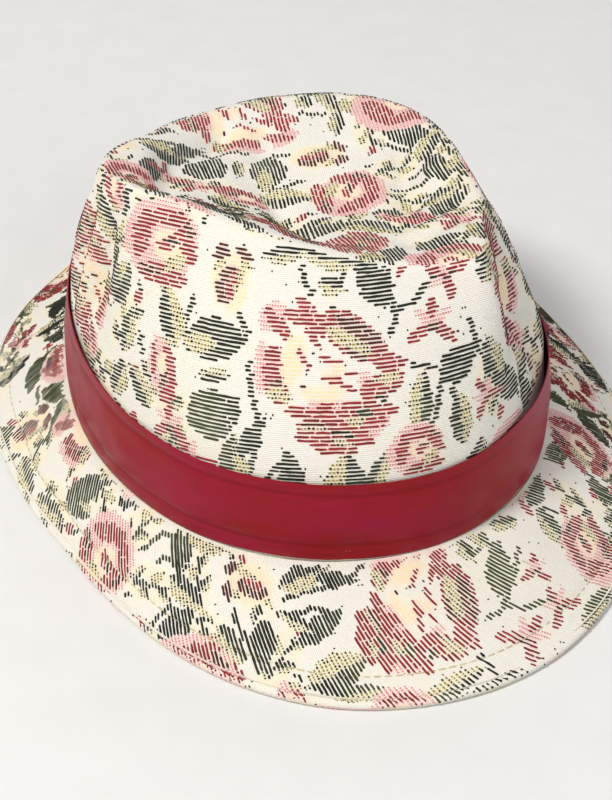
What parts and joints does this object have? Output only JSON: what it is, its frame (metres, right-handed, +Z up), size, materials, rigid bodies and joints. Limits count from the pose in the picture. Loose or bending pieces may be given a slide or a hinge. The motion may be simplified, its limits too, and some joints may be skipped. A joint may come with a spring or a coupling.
{
  "type": "short-brim trilby hat",
  "caption": "Sewn fabric trilby with a dented crown, short sloping brim, satin ribbon, lining and sweatband.",
  "frame": {"origin": "on the resting surface, under the middle of the brim's outline", "axes": "+Z up; the front of the hat faces -Y; +X is on the right of someone facing the hat"},
  "size_m": [0.233, 0.2812, 0.1201],
  "materials": {
    "tapestry": "cream jacquard tapestry cloth with woven roses, leaves and buds",
    "interfacing": "stiff woven interfacing canvas",
    "satin_ribbon": "wine-red satin with a soft sheen",
    "lining": "plain polyester lining",
    "sweatband_twill": "cotton twill",
    "cream_thread": "matt sewing thread",
    "red_thread": "matt sewing thread",
    "label": "blank woven satin label"
  },
  "bodies": {
    "root": {"crown_side": "tapestry", "crown_tip": "tapestry", "crown_side_interfacing": "interfacing", "crown_tip_interfacing": "interfacing", "lining_side": "lining", "lining_tip": "lining", "brim_upper": "tapestry", "brim_interlining": "interfacing", "brim_lower": "tapestry", "brim_topstitch": "cream_thread", "ribbon_band": "satin_ribbon", "ribbon_join_cover": "satin_ribbon", "ribbon_tack_1": "red_thread", "ribbon_tack_2": "red_thread", "ribbon_tack_3": "red_thread", "ribbon_tack_4": "red_thread", "ribbon_tack_5": "red_thread", "ribbon_tack_6": "red_thread", "sweatband": "sweatband_twill", "sweatband_stitching": "cream_thread", "crown_seam_tape": "sweatband_twill", "size_label": "label"}
  },
  "joints": []
}
